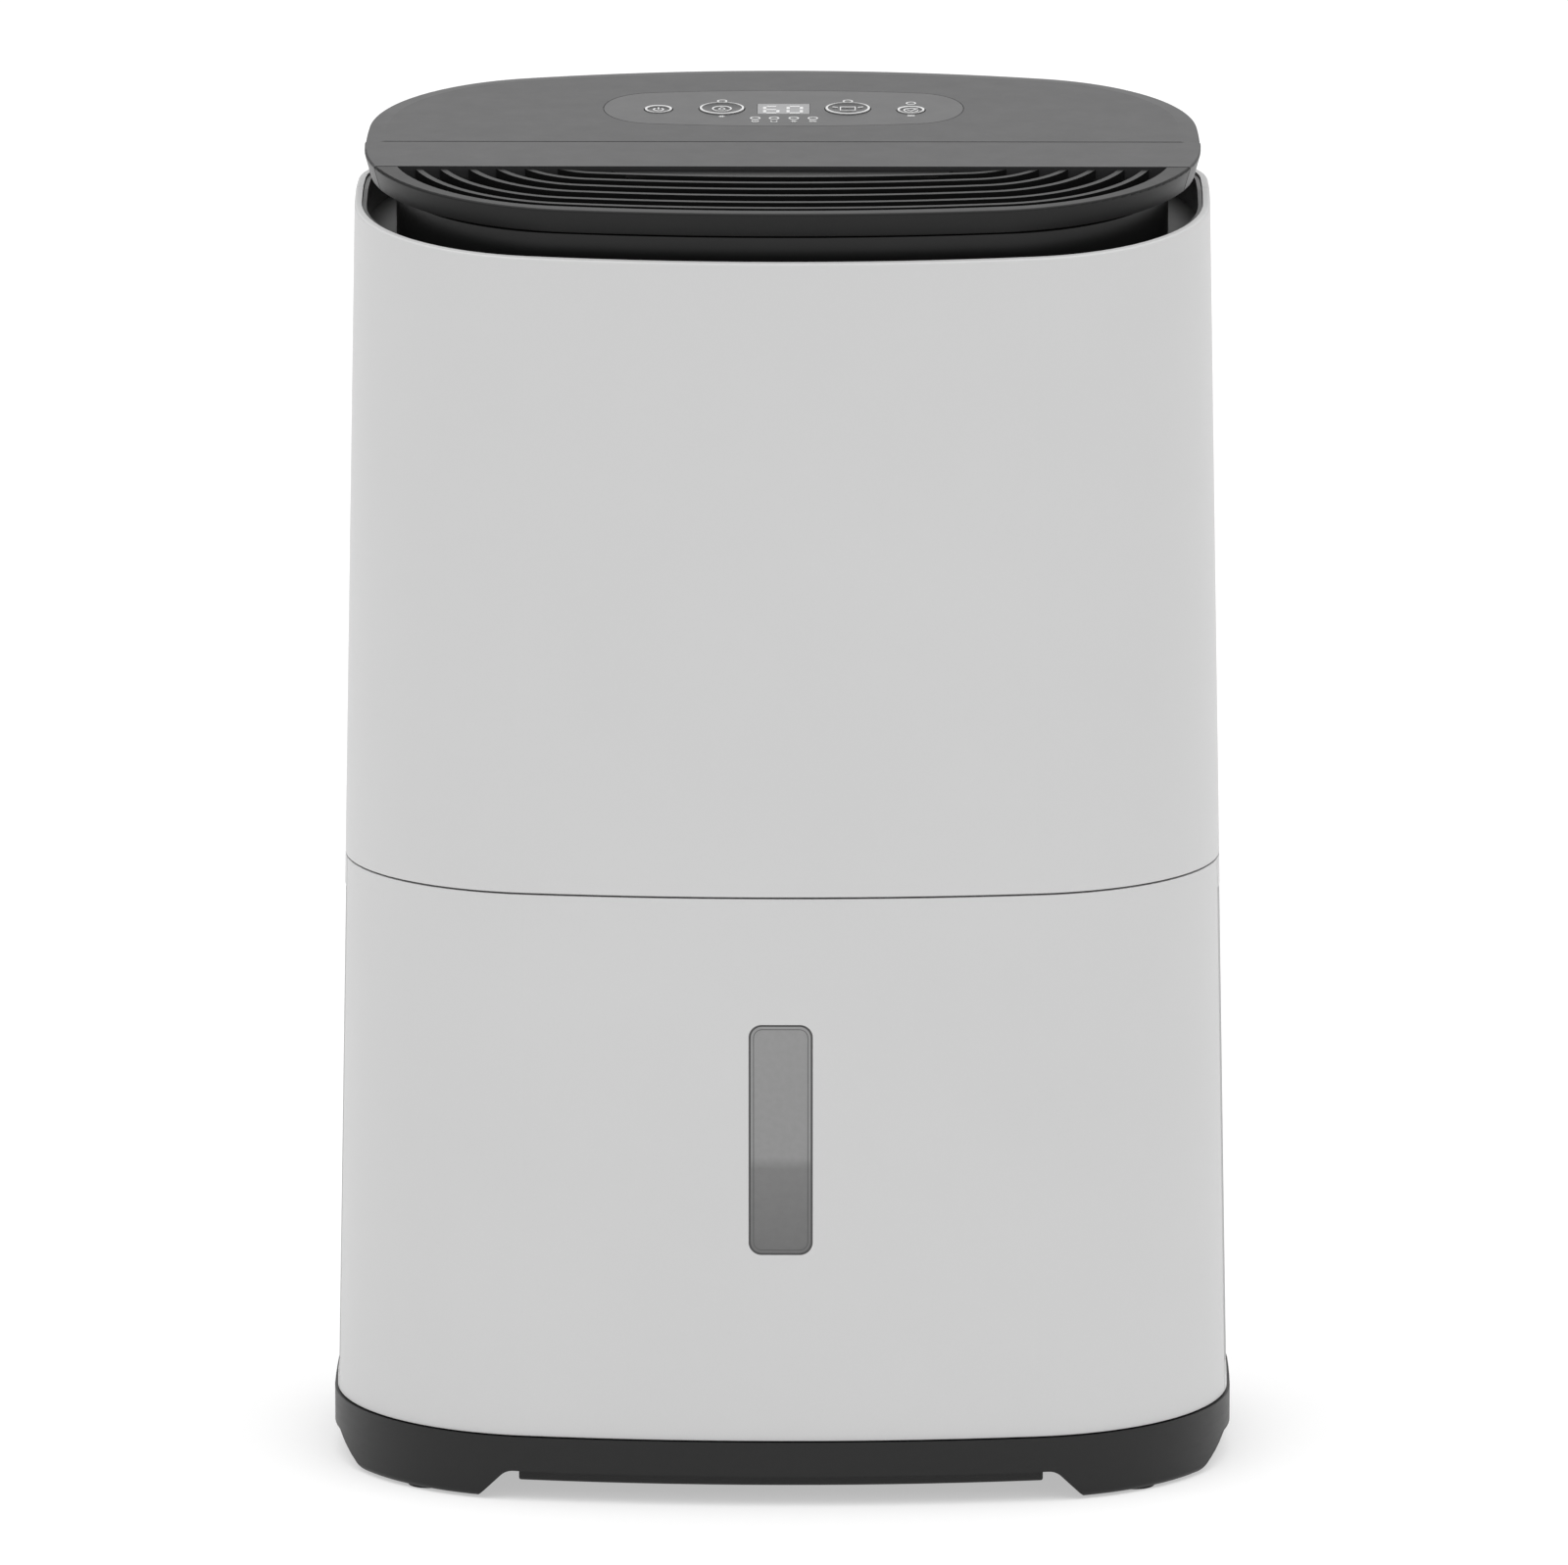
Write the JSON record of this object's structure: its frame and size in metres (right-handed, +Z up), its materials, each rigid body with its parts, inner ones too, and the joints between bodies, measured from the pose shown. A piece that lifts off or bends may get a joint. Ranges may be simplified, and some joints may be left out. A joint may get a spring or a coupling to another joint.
{
  "type": "dehumidifier",
  "caption": "Floor-standing compressor dehumidifier with a leaning oval casing, tilted lid with controls and top air outlet, and a slide-out water tank with a level window.",
  "frame": {"origin": "on the floor under the middle of the casing", "axes": "+Z up, -Y towards the front with the water tank, +X to the right seen from the front"},
  "size_m": [0.3534, 0.2374, 0.5292],
  "materials": {
    "white_casing": "fine satin texture",
    "door_plastic": "fine satin texture",
    "lid_grey": "fine matt texture",
    "overlay_grey": "smooth satin film",
    "button_grey": "smooth satin",
    "grille_black": "matt",
    "trim_black": "matt",
    "base_black": "fine matt texture",
    "frame_grey": "moulded",
    "foot_rubber": "matt rubber",
    "window_clear": "smoked clear plastic",
    "display_dark": "smooth smoked lens",
    "lamp_clear": "frosted light guides",
    "tank_frosted": "frosted translucent plastic",
    "tank_grey": "moulded",
    "float_foam": "closed-cell foam",
    "fan_plastic": "moulded",
    "filter_black": "woven mesh",
    "filter_frame_grey": "moulded",
    "steel": "zinc plated",
    "motor_steel": "plated can",
    "compressor_black": "black enamel",
    "copper_pipe": "drawn copper tube",
    "fin_aluminium": "rolled fin stock",
    "board_green": "circuit board",
    "dark_parts": "moulded"
  },
  "bodies": {
    "casing": {"base": "base_black", "foot_pads": "foot_rubber", "front_shell": "white_casing", "rear_shell": "white_casing", "grip_cups": "white_casing", "casing_screws": "steel", "chassis": "frame_grey", "rim_liner": "trim_black", "outlet_collar": "trim_black", "outlet_grille": "grille_black", "lid_cover": "lid_grey", "lid_strip": "lid_grey", "control_tray": "trim_black", "control_overlay": "overlay_grey", "display_lens": "display_dark", "indicator_lights": "lamp_clear", "control_board": "board_green", "cable_gland": "foot_rubber", "drain_spigot": "tank_grey", "condensate_tray": "frame_grey", "coil_end_plates": "steel", "evaporator_tube": "copper_pipe", "evaporator_fins": "fin_aluminium", "condenser_tube": "copper_pipe", "condenser_fins": "fin_aluminium", "compressor_shell": "compressor_black", "compressor_stator": "motor_steel", "compressor_mounts": "foot_rubber", "compressor_bolts": "steel", "accumulator": "compressor_black", "refrigerant_pipes": "copper_pipe", "filter_drier": "copper_pipe", "capillary_tube": "copper_pipe", "fan_scroll": "frame_grey", "fan_motor": "motor_steel", "board_box": "frame_grey", "main_board": "board_green", "run_capacitor": "dark_parts", "capacitor_clip": "steel", "tank_switch": "dark_parts"},
    "tank": {"tank_front_panel": "white_casing", "water_window": "window_clear", "tank_tub": "tank_frosted", "tank_lid": "tank_grey", "handle_pins": "steel", "float_pin": "steel"},
    "handle": {"tank_handle": "tank_grey"},
    "float": {"float_arm": "tank_grey", "float_block": "float_foam"},
    "fan": {"fan_impeller": "fan_plastic", "fan_shaft": "steel"},
    "compressor_rotor": {"compressor_rotor": "steel"},
    "power_button": {"button_power": "button_grey"},
    "mode_button": {"button_mode": "button_grey"},
    "humidity_button": {"button_humidity": "button_grey"},
    "timer_button": {"button_timer": "button_grey"},
    "filter_door": {"inlet_grille": "door_plastic", "filter_frame": "filter_frame_grey", "filter_mesh": "filter_black"},
    "drain_plug": {"drain_plug": "foot_rubber"}
  },
  "joints": [
    {"name": "tank_slide", "type": "slide", "parent": "casing", "child": "tank", "axis": [0, -1, 0], "range_m": [0, 0.24]},
    {"name": "handle_swing", "type": "hinge", "parent": "tank", "child": "handle", "pos_m": [0, -0.048, 0.1895], "axis": [1, 0, 0], "range_deg": [0, 90]},
    {"name": "float_swing", "type": "hinge", "parent": "tank", "child": "float", "pos_m": [0, 0.005, 0.148], "axis": [-1, 0, 0], "range_deg": [0, 22]},
    {"name": "fan_spin", "type": "hinge", "parent": "casing", "child": "fan", "pos_m": [0.052, 0, 0.35], "axis": [0, 1, 0], "continuous": true},
    {"name": "compressor_spin", "type": "hinge", "parent": "casing", "child": "compressor_rotor", "pos_m": [-0.098, -0.022, 0.34], "axis": [0, 0, 1], "continuous": true},
    {"name": "filter_door_pull", "type": "slide", "parent": "casing", "child": "filter_door", "axis": [0, 1, 0], "range_m": [0, 0.05]},
    {"name": "drain_plug_pull", "type": "slide", "parent": "casing", "child": "drain_plug", "axis": [0, 1, 0], "range_m": [0, 0.025]},
    {"name": "power_button_press", "type": "slide", "parent": "casing", "child": "power_button", "axis": [0, 0.1132, -0.9936], "range_m": [0, 0.0007], "stiffness_N_per_m": 800, "springref_m": -0.0004},
    {"name": "mode_button_press", "type": "slide", "parent": "casing", "child": "mode_button", "axis": [0, 0.1132, -0.9936], "range_m": [0, 0.0007], "stiffness_N_per_m": 800, "springref_m": -0.0004},
    {"name": "humidity_button_press", "type": "slide", "parent": "casing", "child": "humidity_button", "axis": [0, 0.1132, -0.9936], "range_m": [0, 0.0007], "stiffness_N_per_m": 800, "springref_m": -0.0004},
    {"name": "timer_button_press", "type": "slide", "parent": "casing", "child": "timer_button", "axis": [0, 0.1132, -0.9936], "range_m": [0, 0.0007], "stiffness_N_per_m": 800, "springref_m": -0.0004}
  ]
}
